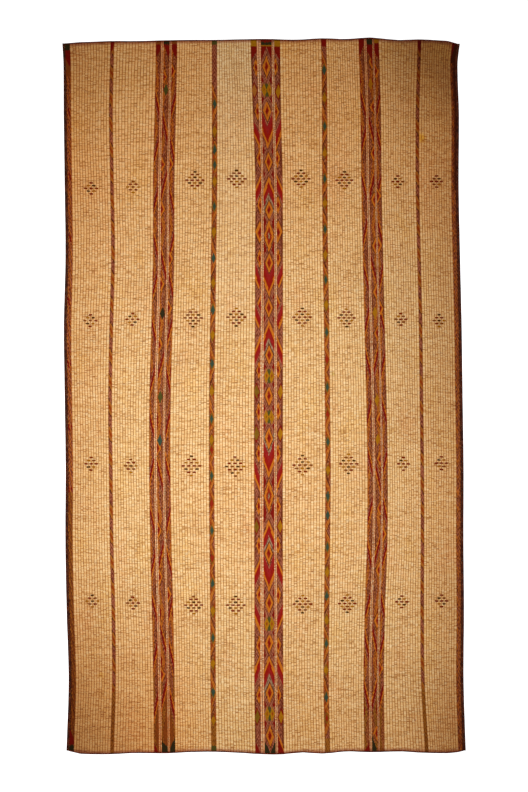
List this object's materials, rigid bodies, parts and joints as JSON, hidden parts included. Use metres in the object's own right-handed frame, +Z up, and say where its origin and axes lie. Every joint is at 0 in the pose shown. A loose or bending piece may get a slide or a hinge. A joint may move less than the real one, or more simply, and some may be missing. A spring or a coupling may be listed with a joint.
{
  "type": "tuareg mat",
  "caption": "Flat rectangular floor mat of palm reeds and leather thongs, with coloured leather bands along it and leather-bound edges.",
  "frame": {"origin": "middle of the bottom of the mat's box, on the surface that it lies on", "axes": "+Z up from the underside to the patterned face, +Y along the mat's length, +X across it"},
  "size_m": [2.945, 5.2348, 0.0055],
  "materials": {
    "palm_reed": "matt dried palm reed with thin tan leather thongs",
    "edge_leather": "near-black leather, worn at the fold",
    "end_leather": "thin red-brown leather",
    "band_leather": "dyed leather thongs woven in red, orange, grey-mauve, ochre and green"
  },
  "bodies": {
    "root": {"mat_ground": "palm_reed", "side_binding_left": "edge_leather", "side_binding_right": "edge_leather", "end_binding_near": "end_leather", "end_binding_far": "end_leather", "border_band_left": "band_leather", "border_band_right": "band_leather", "narrow_stripe_1": "band_leather", "narrow_stripe_2": "band_leather", "narrow_stripe_3": "band_leather", "narrow_stripe_4": "band_leather", "left_band_strip_1": "band_leather", "left_band_strip_2": "band_leather", "left_band_strip_3": "band_leather", "middle_band_strip_1": "band_leather", "middle_band_strip_2": "band_leather", "middle_band_strip_3": "band_leather", "right_band_strip_1": "band_leather", "right_band_strip_2": "band_leather", "right_band_strip_3": "band_leather"}
  },
  "joints": []
}
